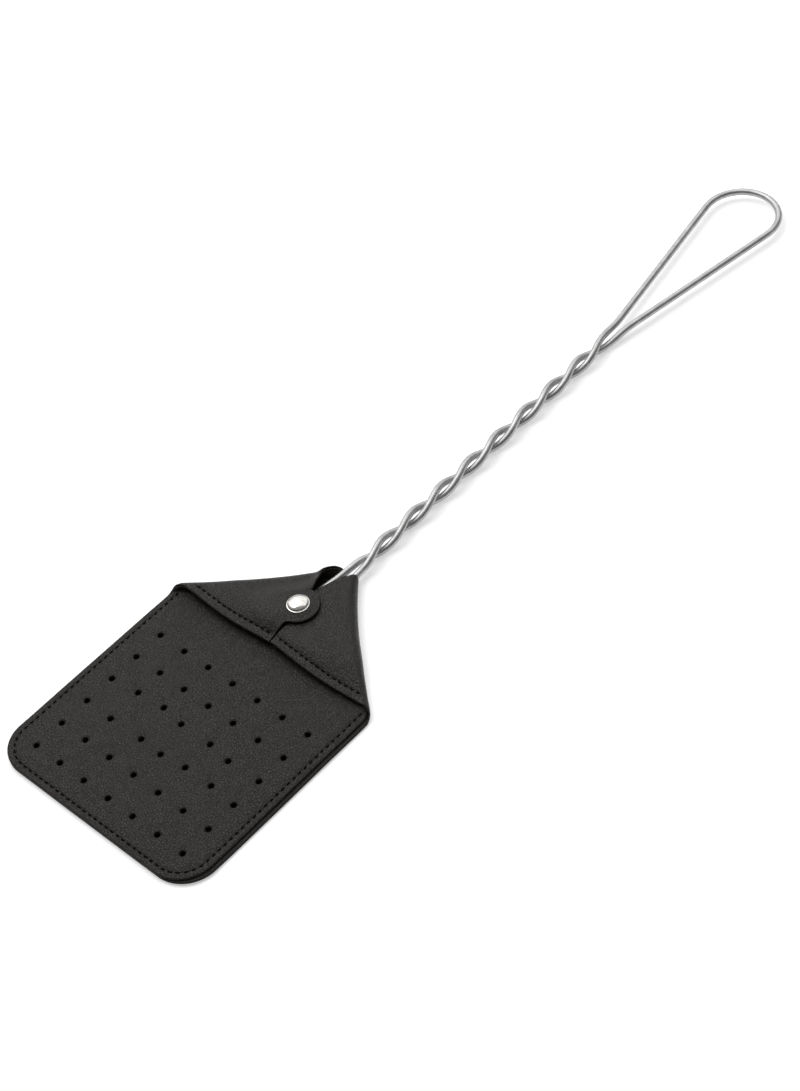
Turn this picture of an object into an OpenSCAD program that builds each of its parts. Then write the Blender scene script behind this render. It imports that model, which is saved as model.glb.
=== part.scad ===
/* [Overall] */
// Length from the bottom edge of the head to the far end of the loop
overall_l = 444.5; // [365:0.5:540]
// Length of the head, from its bottom edge to the mouth where the wire enters
head_l = 152.4; // [125:0.1:185]
// Width of the head
head_w = 114.3; // [95:0.1:140]

/* [Leather] */
// Thickness of one ply of leather
ply_t = 1.0; // [0.8:0.1:1.3]
// Radius of the two bottom corners of the head
corner_r = 16; // [10:1:24]
// How far the front ply stops short of the back ply along the right side
right_setback = 1.8; // [0:0.1:2.5]
// Clearance between the leather and the wire in the folds
wire_gap = 0.15; // [0.1:0.05:0.4]

/* [Flaps] */
// Height of the flaps from their stitched lower edge to the mouth
flap_h = 45.65; // [38:0.05:55]
// Radius of the round snap tab
tab_r = 9.2; // [7.6:0.1:11.1]
// Distance from the mouth down to the centre of the tab
tab_drop = 25.65; // [21.3:0.05:31]
// Distance of the tab's centre to the left of the middle
tab_shift = 3; // [2:0.1:4]
// Radius of the hollow corner where the tab meets the middle split
tab_fillet = 2.5; // [1:0.1:3.5]
// Gap of the split between the two flaps
split_gap = 0.6; // [0.4:0.1:1]
// Width of the open mouth between the flap lips, at the top
mouth_w = 11; // [9:0.1:13.5]
// Length over which the left flap steps up to pass over the right one
step_run = 5; // [4:0.1:7]
// Distance that the flaps' inner plies stop short of the mouth, clear of the wire
lip_relief = 4.5; // [3.5:0.1:6]

/* [Vent holes] */
// Diameter of the punched holes
vent_d = 2.4; // [1.5:0.1:3.5]
// Spacing of the holes across the head
vent_pitch_x = 14.3; // [11.5:0.05:17.5]
// Spacing of the rows of holes
vent_pitch_y = 14.15; // [11.5:0.05:17.5]
// Distance from the bottom edge to the lowest row
vent_margin = 13; // [10:0.1:16]
// Least distance from the flaps to the top row
vent_top_gap = 20; // [16:0.5:24]
// Least distance from the sides to the outer columns
vent_side_gap = 10; // [8:0.5:13]

/* [Stitching] */
// Distance of the seam from the edge
seam_margin = 3; // [2.5:0.1:5]
// Length of one stitch with its gap
stitch_pitch = 3.2; // [2.6:0.1:4.5]
// Length of the thread seen in one stitch
stitch_l = 2.2; // [1.6:0.1:2.7]
// Diameter of the thread
thread_d = 0.6; // [0.4:0.05:0.75]
// Depth of the groove that the thread lies in
groove_depth = 0.4; // [0.3:0.05:0.5]

/* [Wire] */
// Diameter of the wire
wire_d = 3.2; // [2.4:0.1:3.9]
// Clear gap between the two strands of the twist
strand_gap = 1.0; // [0.4:0.1:1.4]
// Length of one half turn of the twist
half_turn = 18.5; // [15:0.1:22.5]
// Number of half turns
half_turns = 9; // [5:2:11]
// Length of straight strands between the mouth and the twist
lead_l = 9.7; // [6:0.1:14]
// Radius of the round end of the loop, to the middle of the wire
loop_r = 18; // [14:0.5:24]
// Depth that the two arms reach into the pocket
arm_depth = 38; // [25:0.5:46]
// Half of the spread of the arms at their hidden ends
arm_spread = 9; // [7:0.1:18]

/* [Snap] */
// Diameter of the cap
cap_d = 10; // [8:0.1:12]
// Height of the cap
cap_h = 1.9; // [1.4:0.1:2.5]
// Diameter of the socket's flange
socket_d = 8.2; // [6.8:0.1:9.9]
// Bore of the socket
socket_bore = 4.4; // [3.6:0.1:5.3]
// Thickness of the socket's flange
socket_t = 0.4; // [0.3:0.01:0.5]
// Diameter of the stud's flange
stud_flange_d = 6.4; // [5:0.1:7.7]
// Thickness of the stud's flange
stud_flange_t = 0.3; // [0.2:0.01:0.4]
// Diameter of the stud's head
stud_head_d = 2.8; // [2.3:0.1:3.4]
// Clear gap between the tab and the right flap
snap_gap = 1.0; // [0.8:0.05:1.4]
// Diameter of the post's flange
post_flange_d = 6; // [4:0.1:7.2]
// Thickness of the post's flange
post_flange_t = 0.35; // [0.2:0.01:0.45]
// Diameter of the post
post_d = 1.6; // [1.2:0.1:2]

/* [Hidden] */
$fn = 48;

leather = [0.2, 0.195, 0.19];
thread_c = [0.06, 0.06, 0.06];
steel = [0.72, 0.72, 0.72];
nickel = [0.85, 0.84, 0.82];

// Levels along Y, with the middle of the overall length at zero
y_bottom = -overall_l / 2;
y_mouth = y_bottom + head_l;
y_flap = y_mouth - flap_h;
y_tip = overall_l / 2;

// Levels along Z
panel_t = 2 * ply_t;
bend_r = wire_d / 2 + wire_gap;
axis_z = panel_t + bend_r;
flap_z = axis_z + bend_r;
outer_z = flap_z + ply_t;
flap_top = outer_z + ply_t;
tab_z = flap_top + snap_gap;
step_h = tab_z - outer_z;

// The fold: its outer side runs from the head's side at the flap's lower edge to the mouth's corner
fold_r = bend_r + panel_t;
mouth_corner_x = 6.64;
fold_run = head_w / 2 - mouth_corner_x;
fold_len = sqrt(fold_run * fold_run + flap_h * flap_h);
fold_a = atan2(flap_h, fold_run);
axis_x0 = head_w / 2 - fold_r / sin(fold_a);
axis_x1 = mouth_corner_x - fold_r / sin(fold_a);

// The tab's centre and the middle split
tab_x = -tab_shift;
tab_y = y_mouth - tab_drop;
split_x = -1.2;
left_edge = split_x - split_gap / 2;
right_edge = split_x + split_gap / 2;
lip_x = tab_x - 1.5;
lip_y = tab_y + tab_r + 1.2;
tongue_r = tab_r - 2.8;
step_x1 = tab_x - max(socket_d / 2 + 0.9, tongue_r - 1.4);
step_x0 = step_x1 - step_run;
bite_r = tab_r + 0.4;

// Wire levels
strand_r = (wire_d + strand_gap) / 2;
strand_spread = 0.7;
twist_y0 = y_mouth + lead_l;
twist_y1 = twist_y0 + half_turns * half_turn;
loop_y = y_tip - wire_d / 2 - loop_r;

far = 400;

// Shapes of the head

module head_outline(inset, setback) {
    x0 = -head_w / 2 + inset;
    x1 = head_w / 2 - setback - inset;
    y0 = y_bottom + inset;
    r = corner_r - inset;
    translate([x0, y0 + r]) square([x1 - x0, y_mouth - y0 - r]);
    translate([x0 + r, y0]) square([x1 - x0 - 2 * r, r + 1]);
    translate([x0 + r, y0 + r]) circle(r);
    translate([x1 - r, y0 + r]) circle(r);
}

// Everything on the head's side of the two fold axes
module panel_limit() {
    polygon([[-far, y_bottom - far], [far, y_bottom - far], [far, y_flap], [axis_x0, y_flap],
        [axis_x1, y_mouth], [-axis_x1, y_mouth], [-axis_x0, y_flap], [-far, y_flap]]);
}

// Small shifts of the holes that were punched off the grid in the third and fourth rows
row_3_shift = [[0, 0], [0, 1.5], [0, 2.5], [-2.5, 1], [0, 1], [-2.5, -0.5], [0, 0]];
row_4_shift = [[0, 0], [0.5, -0.5], [4, 0], [1.5, -0.5], [0, 1], [0.5, 1], [0, 0]];
vent_y0 = y_bottom + vent_margin;
last_row = floor((y_flap - vent_top_gap - vent_y0) / vent_pitch_y);
side_cols = floor((head_w / 2 - vent_side_gap) / vent_pitch_x);
function vent_shift(row, col) = abs(col) > 3 ? [0, 0] :
    row == 3 ? row_3_shift[col + 3] : row == 2 ? row_4_shift[col + 3] : [0, 0];

module vents() {
    for (row = [0:last_row], col = [-side_cols:side_cols]) {
        s = vent_shift(row, col);
        translate([col * vent_pitch_x - right_setback / 2 + s.x, vent_y0 + row * vent_pitch_y + s.y, -1])
            cylinder(d = vent_d, h = panel_t + 2);
    }
}

// The seam's line on the panel: left side, left corner, bottom, right corner, right side
seam_x0 = -head_w / 2 + seam_margin;
seam_x1 = head_w / 2 - right_setback - seam_margin;
seam_y0 = y_bottom + seam_margin;
seam_r = corner_r - seam_margin;
seam_top = y_flap - 1.5;
side_l = seam_top - seam_y0 - seam_r;
arc_l = seam_r * PI / 2;
base_l = seam_x1 - seam_x0 - 2 * seam_r;
seam_l = 2 * side_l + 2 * arc_l + base_l;
function arc_at(cx, a) = [cx + seam_r * cos(a), seam_y0 + seam_r + seam_r * sin(a), a + 90];
function seam_at(s) =
    s < side_l ? [seam_x0, seam_top - s, -90] :
    s < side_l + arc_l ? arc_at(seam_x0 + seam_r, 180 + (s - side_l) / arc_l * 90) :
    s < side_l + arc_l + base_l ? [seam_x0 + seam_r + s - side_l - arc_l, seam_y0, 0] :
    s < side_l + 2 * arc_l + base_l ?
        arc_at(seam_x1 - seam_r, 270 + (s - side_l - arc_l - base_l) / arc_l * 90) :
    [seam_x1, seam_y0 + seam_r + s - side_l - 2 * arc_l - base_l, 90];

groove_w = thread_d + 0.3;

module panel_groove() {
    intersection() {
        difference() {
            head_outline(seam_margin - groove_w / 2, right_setback);
            head_outline(seam_margin + groove_w / 2, right_setback);
        }
        translate([-far, y_bottom - far]) square([2 * far, y_flap + far - y_bottom]);
    }
}

module stitch(length) {
    rotate([0, 90, 0]) cylinder(d = thread_d, h = length, center = true, $fn = 16);
}

module panel_stitches(z) {
    n = floor(seam_l / stitch_pitch);
    for (i = [0:n - 1]) {
        p = seam_at((i + 0.5) * seam_l / n);
        translate([p.x, p.y, z]) rotate([0, 0, p.z]) stitch(stitch_l);
    }
}

// Panel plies

module back_panel() {
    color(leather) difference() {
        linear_extrude(ply_t) intersection() {
            head_outline(0, 0);
            panel_limit();
        }
        vents();
        translate([0, 0, -1]) linear_extrude(1 + groove_depth) panel_groove();
    }
}

// The front ply widens to meet the right fold
module setback_taper() {
    polygon([[0, y_flap - 12], [head_w / 2 - right_setback, y_flap - 12], [head_w / 2, y_flap],
        [head_w / 2, y_mouth], [0, y_mouth]]);
}

module front_panel() {
    color(leather) difference() {
        translate([0, 0, ply_t]) linear_extrude(ply_t) intersection() {
            union() {
                head_outline(0, right_setback);
                setback_taper();
            }
            panel_limit();
        }
        vents();
        translate([0, 0, panel_t - groove_depth]) linear_extrude(1) panel_groove();
    }
}

module panel_needle_thread() {
    color(thread_c) panel_stitches(panel_t - groove_depth + thread_d / 2);
}

module panel_bobbin_thread() {
    color(thread_c) panel_stitches(groove_depth - thread_d / 2);
}

// The opening above the wire, between the lips of the flaps
module mouth_cut() {
    translate([0, 0, axis_z]) linear_extrude(30)
        polygon([[lip_x - 0.6, lip_y], [-mouth_w / 2 - 3, y_mouth + 1], [mouth_w / 2 - 3, y_mouth + 1],
            [lip_x + 0.6, lip_y]]);
}

// The room that each strand needs where it leaves the folds at the mouth
module strand_room() {
    for (side = [-1, 1])
        translate([side * (strand_r + strand_spread - 0.07), y_mouth + 1, axis_z]) rotate([90, 0, 0])
            cylinder(r = bend_r + 0.1, h = 4);
}

// Folds, built for the right side and mirrored for the left

module fold_layer(r0, r1) {
    intersection() {
        translate([axis_x0, y_flap, axis_z]) rotate([0, 0, 270 - fold_a]) rotate([90, 0, 0])
            translate([0, 0, -20]) linear_extrude(fold_len + 40) difference() {
                circle(r1);
                circle(r0);
                translate([0, -far]) square([far, 2 * far]);
            }
        translate([-far, y_flap, -1]) cube([2 * far, flap_h, far]);
    }
}

module right_fold_layer(r0, r1) {
    difference() {
        fold_layer(r0, r1);
        mouth_cut();
        strand_room();
    }
}

module left_fold_layer(r0, r1) {
    difference() {
        mirror([1, 0, 0]) fold_layer(r0, r1);
        mouth_cut();
        strand_room();
    }
}

module right_fold_outer() {
    color(leather) right_fold_layer(bend_r + ply_t, fold_r);
}

module right_fold_inner() {
    color(leather) right_fold_layer(bend_r, bend_r + ply_t);
}

module left_fold_outer() {
    color(leather) left_fold_layer(bend_r + ply_t, fold_r);
}

module left_fold_inner() {
    color(leather) left_fold_layer(bend_r, bend_r + ply_t);
}

// Flaps

module left_body() {
    polygon([[-axis_x0, y_flap], [-axis_x1, y_mouth], [axis_x1, y_mouth], [lip_x, lip_y],
        [tab_x, tab_y], [left_edge, tab_y], [left_edge, y_flap]]);
}

// The hollow corner between the tab and the split
module tab_corner() {
    foot_y = tab_y - sqrt(pow(tab_r + tab_fillet, 2) - pow(left_edge + tab_fillet - tab_x, 2));
    difference() {
        translate([left_edge - 1, foot_y]) square([tab_fillet + 1, tab_y - foot_y - tab_r / 2]);
        translate([left_edge + tab_fillet, foot_y]) circle(tab_fillet);
    }
}

// Side view of one ply of the left flap, which steps up to pass over the right flap
module left_profile(z) {
    translate([0, y_mouth + 10, 0]) rotate([90, 0, 0]) linear_extrude(flap_h + 20)
        polygon([[-far, z], [step_x0, z], [step_x1, z + step_h], [far, z + step_h],
            [far, z + step_h + ply_t], [step_x1, z + step_h + ply_t], [step_x0, z + ply_t],
            [-far, z + ply_t]]);
}

module left_groove(z) {
    translate([-far, y_flap + seam_margin - groove_w / 2, z]) cube([far + step_x0 - 1, groove_w, 1]);
}

// What the inner plies leave out at the mouth
module lip_cut() {
    translate([-mouth_corner_x, y_mouth - lip_relief, flap_z - 1])
        cube([2 * mouth_corner_x, lip_relief + 10, ply_t + 1]);
}

module left_flap_outer() {
    color(leather) difference() {
        intersection() {
            union() {
                translate([0, 0, flap_z]) linear_extrude(30) left_body();
                translate([tab_x, tab_y, flap_z]) cylinder(r = tab_r, h = 30);
                translate([0, 0, flap_z]) linear_extrude(30) tab_corner();
            }
            left_profile(outer_z);
        }
        mouth_cut();
        left_groove(flap_top - groove_depth);
        translate([tab_x, tab_y, 0]) cylinder(d = socket_bore + 1, h = 40);
    }
}

module left_flap_inner() {
    color(leather) difference() {
        intersection() {
            translate([0, 0, flap_z]) linear_extrude(30) left_body();
            left_profile(flap_z);
        }
        mouth_cut();
        lip_cut();
        left_groove(flap_z + groove_depth - 1);
        translate([tab_x, tab_y, 0]) cylinder(r = bite_r, h = 40);
    }
}

module right_outline() {
    polygon([[axis_x0, y_flap], [axis_x1, y_mouth], [-axis_x1, y_mouth], [lip_x, lip_y],
        [tab_x, tab_y], [right_edge, tab_y], [right_edge, y_flap]]);
    translate([tab_x, tab_y]) circle(tongue_r);
}

module right_groove(z) {
    translate([right_edge - 1, y_flap + seam_margin - groove_w / 2, z]) cube([far, groove_w, 1]);
}

module right_flap_outer() {
    color(leather) difference() {
        translate([0, 0, outer_z]) linear_extrude(ply_t) right_outline();
        mouth_cut();
        right_groove(flap_top - groove_depth);
        translate([tab_x, tab_y, 0]) cylinder(d = post_d + 0.1, h = 40);
    }
}

module right_flap_inner() {
    color(leather) difference() {
        translate([0, 0, flap_z]) linear_extrude(ply_t) right_outline();
        mouth_cut();
        lip_cut();
        right_groove(flap_z + groove_depth - 1);
        translate([tab_x, tab_y, 0]) cylinder(d = post_d + 0.1, h = 40);
        translate([tab_x, tab_y, flap_z - 1]) cylinder(d = post_flange_d + 0.1, h = 1 + post_flange_t);
    }
}

module flap_stitches(x0, x1, z) {
    n = floor((x1 - x0) / stitch_pitch);
    for (i = [0:n - 1])
        translate([x0 + (i + 0.5) * (x1 - x0) / n, y_flap + seam_margin, z]) stitch(stitch_l);
}

upper_z = flap_top - groove_depth + thread_d / 2;
under_z = flap_z + groove_depth - thread_d / 2;
flap_seam_x = axis_x0 - 4;

module left_flap_needle_thread() {
    color(thread_c) flap_stitches(-flap_seam_x, step_x0 - 1, upper_z);
}

module left_flap_bobbin_thread() {
    color(thread_c) flap_stitches(-flap_seam_x, step_x0 - 1, under_z);
}

module right_flap_needle_thread() {
    color(thread_c) flap_stitches(right_edge + 1, flap_seam_x, upper_z);
}

module right_flap_bobbin_thread() {
    color(thread_c) flap_stitches(right_edge + 1, flap_seam_x, under_z);
}

// Snap

module snap_cap() {
    rim = 0.5;
    rise = cap_h - rim;
    dome_r = (cap_d * cap_d / 4 + rise * rise) / (2 * rise);
    color(nickel) translate([tab_x, tab_y, tab_z + ply_t]) {
        cylinder(d = cap_d, h = rim);
        intersection() {
            translate([0, 0, cap_h - dome_r]) sphere(dome_r, $fn = 96);
            translate([0, 0, rim - 0.01]) cylinder(d = cap_d, h = cap_h);
        }
    }
}

module snap_socket() {
    color(nickel) translate([tab_x, tab_y, 0]) difference() {
        union() {
            translate([0, 0, tab_z - socket_t]) cylinder(d = socket_d, h = socket_t);
            translate([0, 0, tab_z - 0.01]) cylinder(d = socket_bore + 0.9, h = ply_t + 0.01);
        }
        cylinder(d = socket_bore, h = 40);
    }
}

module snap_stud() {
    head_z = tab_z + ply_t - 0.2;
    color(nickel) translate([tab_x, tab_y, 0]) difference() {
        union() {
            translate([0, 0, flap_top]) cylinder(d = stud_flange_d, h = stud_flange_t);
            translate([0, 0, flap_top]) cylinder(d = stud_head_d, h = head_z - stud_head_d / 2 - flap_top);
            translate([0, 0, head_z - stud_head_d / 2]) sphere(d = stud_head_d);
        }
        translate([0, 0, flap_top - stud_head_d]) cylinder(d = stud_head_d + 1, h = stud_head_d);
        translate([0, 0, flap_top - 1]) cylinder(d = post_d + 0.1, h = 1 + stud_flange_t + 0.4);
    }
}

module snap_post() {
    color(nickel) translate([tab_x, tab_y, 0]) {
        translate([0, 0, flap_z]) cylinder(d = post_flange_d, h = post_flange_t);
        translate([0, 0, flap_z]) cylinder(d = post_d, h = panel_t + stud_flange_t + 0.3);
    }
}

// Wire: half of the path runs from the hidden end of the right arm to the loop's far end

ring_n = 12;
twist_n = 6 * half_turns;
leg_n = 14;
end_n = 12;
function smooth(t) = t * t * (3 - 2 * t);

// The legs part at the last crossing of the twist, run straight and meet the round end as tangents
cross_y = twist_y1 - half_turn / 2;
leg_a = asin(min(0.9, loop_r / (loop_y - cross_y)));
leg_dy = loop_y - loop_r * sin(leg_a) - cross_y;
leg_slope = loop_r * cos(leg_a) / leg_dy;
twist_slope = strand_r * PI / half_turn;
level_l = 1.67 * strand_r / leg_slope;
function leg_x(d) = leg_slope * d + (twist_slope - leg_slope) * d * pow(max(0, 1 - d / half_turn), 2);
function leg_z(d) = strand_r * sin(180 * half_turns - 90) * (1 - smooth(min(1, d / level_l)));

arm_a = [arm_spread, y_mouth - arm_depth, axis_z];
arm_b = [strand_r + strand_spread, y_mouth - 3, axis_z];

// Side is 1 for the right arm and -1 for the left; the strand changes sides at every half turn
swap = half_turns % 2 == 0 ? 1 : -1;
function strand(side) = concat(
    [for (k = [0:4]) let(t = k / 4)
        [side * (arm_a.x + (arm_b.x - arm_a.x) * t), arm_a.y + (arm_b.y - arm_a.y) * t, axis_z]],
    [for (k = [1:3]) let(t = k / 4) [side * (arm_b.x + (strand_r - arm_b.x) * smooth(t)),
        arm_b.y + (twist_y0 - arm_b.y) * t, axis_z]],
    [for (k = [0:twist_n - 3]) let(a = 180 * half_turns * k / twist_n)
        [side * strand_r * cos(a), twist_y0 + (twist_y1 - twist_y0) * k / twist_n,
        axis_z + side * strand_r * sin(a)]],
    [for (k = [1:leg_n]) let(d = leg_dy * pow(k / leg_n, 1.6))
        [swap * side * leg_x(d), cross_y + d, axis_z + side * leg_z(d)]]);
function loop_end(side) = [for (k = [1:end_n - 1]) let(a = (180 + 2 * leg_a) * k / end_n - leg_a)
    [side * loop_r * cos(a), loop_y + loop_r * sin(a), axis_z]];
right_strand = strand(1);
left_strand = strand(-1);
wire_path = concat(right_strand, loop_end(swap), [for (i = [len(left_strand) - 1:-1:0]) left_strand[i]]);

function unit(v) = v / norm(v);
function heading(p, i) =
    i == 0 ? unit(p[1] - p[0]) :
    i == len(p) - 1 ? unit(p[i] - p[i - 1]) :
    unit(unit(p[i + 1] - p[i]) + unit(p[i] - p[i - 1]));

// Each ring's first axis is the one before it, turned as little as possible
function carry(n, d) = unit(n - d * (n * d));
function normals(p, i, n) =
    i == len(p) ? [] :
    let(m = carry(n, heading(p, i))) concat([m], normals(p, i + 1, m));

module sweep(p, d) {
    nrm = normals(p, 0, [0, 0, 1]);
    rings = [for (i = [0:len(p) - 1]) let(u = nrm[i], v = cross(heading(p, i), u))
        for (k = [0:ring_n - 1]) let(a = 360 * k / ring_n) p[i] + d / 2 * (u * cos(a) + v * sin(a))];
    last = (len(p) - 1) * ring_n;
    sides = [for (i = [0:len(p) - 2], k = [0:ring_n - 1])
        let(a = i * ring_n + k, b = i * ring_n + (k + 1) % ring_n)
        each [[a, b, b + ring_n], [a, b + ring_n, a + ring_n]]];
    caps = [[for (k = [ring_n - 1:-1:0]) k], [for (k = [0:ring_n - 1]) last + k]];
    polyhedron(rings, concat(sides, caps), convexity = 20);
}

module wire_handle() {
    color(steel) sweep(wire_path, wire_d);
}

back_panel();
front_panel();
left_fold_outer();
left_fold_inner();
right_fold_outer();
right_fold_inner();
left_flap_outer();
left_flap_inner();
right_flap_outer();
right_flap_inner();
panel_needle_thread();
panel_bobbin_thread();
left_flap_needle_thread();
left_flap_bobbin_thread();
right_flap_needle_thread();
right_flap_bobbin_thread();
wire_handle();
snap_cap();
snap_socket();
snap_stud();
snap_post();
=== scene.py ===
"""Looks of the leather fly swatter: plies, stitches, twisted wire and snap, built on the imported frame."""

import math

import bpy
import numpy as np
from mathutils import Matrix, Vector, geometry


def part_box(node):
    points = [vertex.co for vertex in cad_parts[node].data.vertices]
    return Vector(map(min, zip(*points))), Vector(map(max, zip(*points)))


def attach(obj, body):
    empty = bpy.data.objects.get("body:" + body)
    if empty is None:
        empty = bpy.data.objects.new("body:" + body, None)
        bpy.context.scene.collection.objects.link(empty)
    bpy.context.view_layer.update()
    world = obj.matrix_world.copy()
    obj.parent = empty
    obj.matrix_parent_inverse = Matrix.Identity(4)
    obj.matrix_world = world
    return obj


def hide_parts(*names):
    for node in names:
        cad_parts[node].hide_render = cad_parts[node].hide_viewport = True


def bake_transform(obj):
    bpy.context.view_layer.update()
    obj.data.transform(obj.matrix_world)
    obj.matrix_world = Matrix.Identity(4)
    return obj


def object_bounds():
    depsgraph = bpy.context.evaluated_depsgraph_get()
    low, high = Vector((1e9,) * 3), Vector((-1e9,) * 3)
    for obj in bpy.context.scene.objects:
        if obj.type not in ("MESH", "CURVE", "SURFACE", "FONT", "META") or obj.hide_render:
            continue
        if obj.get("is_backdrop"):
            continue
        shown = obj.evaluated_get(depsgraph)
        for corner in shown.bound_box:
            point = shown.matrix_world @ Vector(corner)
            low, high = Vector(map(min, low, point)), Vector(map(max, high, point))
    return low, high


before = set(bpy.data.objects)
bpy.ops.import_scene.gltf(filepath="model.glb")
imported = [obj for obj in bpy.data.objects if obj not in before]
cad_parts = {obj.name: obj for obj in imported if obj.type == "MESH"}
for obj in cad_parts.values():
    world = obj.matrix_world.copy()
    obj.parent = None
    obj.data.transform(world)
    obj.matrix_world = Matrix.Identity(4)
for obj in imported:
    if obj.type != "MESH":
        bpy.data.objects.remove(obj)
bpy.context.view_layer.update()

MM = 0.001
rng = np.random.default_rng(7)

# ---------------------------------------------------------------- sizes, in mm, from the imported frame


def mm_box(node):
    """Both corners of a CAD node's box, in mm."""
    lo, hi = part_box(node)
    return np.array(lo) * 1000, np.array(hi) * 1000


back_lo, back_hi = mm_box("back_panel")
front_hi = mm_box("front_panel")[1]
fold_lo, fold_hi = mm_box("right_fold_outer")
wire_hi = mm_box("wire_handle")[1]
cap_lo, cap_hi = mm_box("snap_cap")

HW = back_hi[0]                       # half width of the head
YB, YM = back_lo[1], back_hi[1]       # bottom edge and mouth
YF = fold_lo[1]                       # lower edge of the flaps
PLY = back_hi[2]                      # thickness of one ply
PANEL_T = front_hi[2]                 # thickness of both plies
TOP = fold_hi[2]                      # top of the folds
AZ = TOP / 2                          # height of the fold axis and of the wire
FOLD_R = TOP / 2                      # outer radius of a fold
PLY_GAP = 0.03                        # each ply keeps that far from the plane between them
WIRE_D = 3.2
TAB = np.array([(cap_lo[0] + cap_hi[0]) / 2, (cap_lo[1] + cap_hi[1]) / 2])    # centre of the snap tab
CAP_R = (cap_hi[0] - cap_lo[0]) / 2
CAP_Z = cap_lo[2]                     # where the cap lies on the leather
CAP_H = cap_hi[2] - CAP_Z
SETBACK = 1.8                         # how much narrower the front ply is on the right
CORNER_R = 16.0                       # bottom corners
SEAM = 3.0                            # from the edge to the seam
PITCH = 3.2                           # of the stitches
MOUTH_X = 6.64                        # half width of the mouth
FOLD_DIP = 2.3                        # how far the middle of a fold is drawn in, as real leather is

# The right fold's axis, from P0 at the flaps' lower edge to P1 at the mouth; the left one is its mirror
FOLD_A = math.atan2(YM - YF, HW - MOUTH_X)
AX0 = HW - FOLD_R / math.sin(FOLD_A)
AX1 = MOUTH_X - FOLD_R / math.sin(FOLD_A)
P0, P1 = np.array([AX0, YF]), np.array([AX1, YM])
FOLD_L = float(np.linalg.norm(P1 - P0))
DIR = (P1 - P0) / FOLD_L
NRM = np.array([DIR[1], -DIR[0]])     # outward, away from the head


def smooth(t):
    """From 0 to 1 with level ends."""
    t = np.clip(t, 0, 1)
    return t * t * (3 - 2 * t)


def fold_dip(v):
    """How far the fold is drawn in from its straight axis, at a place along it."""
    q = np.clip(np.asarray(v, float) / FOLD_L, 0, 1)
    return FOLD_DIP * (4 * q * (1 - q)) ** 1.3


def axis_at(v):
    """Points of the right fold's curved axis at those places along it."""
    v = np.atleast_1d(np.asarray(v, float))
    return P0 + v[:, None] * DIR - fold_dip(v)[:, None] * NRM


# ---------------------------------------------------------------- small geometry tools

CHUNK = 4000       # points worked on at once, which keeps the arrays small
UV_SCALE = 0.01    # UV units in one mm


def polyline_dist(p, line, closed=False):
    """Distance of each point to a polyline."""
    a = np.asarray(line, float)
    b = np.roll(a, -1, axis=0) if closed else a[1:]
    a = a if closed else a[:-1]
    best = np.full(len(p), 1e9)
    for i in range(0, len(p), CHUNK):
        q = p[i:i + CHUNK, None, :] - a[None]
        d = (b - a)[None]
        t = np.clip((q * d).sum(2) / np.maximum((d * d).sum(2), 1e-12), 0, 1)
        best[i:i + CHUNK] = np.sqrt(((q - t[..., None] * d) ** 2).sum(2)).min(1)
    return best


def inside(p, poly):
    """Even-odd test of points in a closed polygon."""
    poly = np.asarray(poly, float)
    a, b = poly, np.roll(poly, -1, axis=0)
    out = np.zeros(len(p), bool)
    for i in range(0, len(p), CHUNK):
        x, y = p[i:i + CHUNK, 0:1], p[i:i + CHUNK, 1:2]
        cross = (a[:, 1] > y) != (b[:, 1] > y)
        with np.errstate(divide="ignore", invalid="ignore"):
            xi = (b[:, 0] - a[:, 0]) * (y - a[:, 1]) / (b[:, 1] - a[:, 1]) + a[:, 0]
        out[i:i + CHUNK] = (cross & (x < xi)).sum(1) % 2 == 1
    return out


def resample(points, step):
    """Points along a polyline, at about step apart, with both ends kept."""
    p = np.asarray(points, float)
    s = np.concatenate([[0], np.cumsum(np.linalg.norm(np.diff(p, axis=0), axis=1))])
    n = max(1, int(round(s[-1] / step)))
    t = np.linspace(0, s[-1], n + 1)
    return np.stack([np.interp(t, s, p[:, k]) for k in range(p.shape[1])], axis=1)


def arc(c, r, a0, a1, step=0.8):
    """Points of an arc about c, from one angle in degrees to the other."""
    n = max(3, int(abs(math.radians(a1 - a0)) * r / step))
    a = np.radians(np.linspace(a0, a1, n + 1))
    return np.stack([c[0] + r * np.cos(a), c[1] + r * np.sin(a)], axis=1)


def lattice_noise(p, size, seed):
    """Smooth noise from -1 to 1 on a square lattice of that size, in mm."""
    g = np.random.default_rng(seed).uniform(-1, 1, (64, 64))
    q = p[:, :2] / size + 500
    i = np.floor(q).astype(int)
    f = smooth(q - i)
    a, b = i[:, 0] % 64, i[:, 1] % 64
    c, d = (a + 1) % 64, (b + 1) % 64
    return (g[a, b] * (1 - f[:, 0]) * (1 - f[:, 1]) + g[c, b] * f[:, 0] * (1 - f[:, 1])
            + g[a, d] * (1 - f[:, 0]) * f[:, 1] + g[c, d] * f[:, 0] * f[:, 1])


def brick_grid(lo, hi, step):
    """Points in rows, every other one shifted by half a step, so that the triangles come out even."""
    xs, ys = np.arange(lo[0], hi[0], step), np.arange(lo[1], hi[1], step * 0.87)
    return np.array([[x + (step / 2 if j % 2 else 0), y] for j, y in enumerate(ys) for x in xs])


def tube_faces(start, steps, ring):
    """Faces of a closed tube of that many rings, whose vertices follow each other from start."""
    faces = []
    for k in range(steps - 1):
        for j in range(ring):
            a, b = start + k * ring + j, start + k * ring + (j + 1) % ring
            faces.append((a, b, b + ring, a + ring))
    last = start + (steps - 1) * ring
    return faces + [tuple(range(start, start + ring))[::-1], tuple(range(last, last + ring))]


def drop_loose(verts, faces):
    """The same mesh without the vertices that no face uses."""
    used = sorted({i for f in faces for i in f})
    new = {old: i for i, old in enumerate(used)}
    return np.array([verts[i] for i in used]), [tuple(new[i] for i in f) for f in faces]


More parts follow.
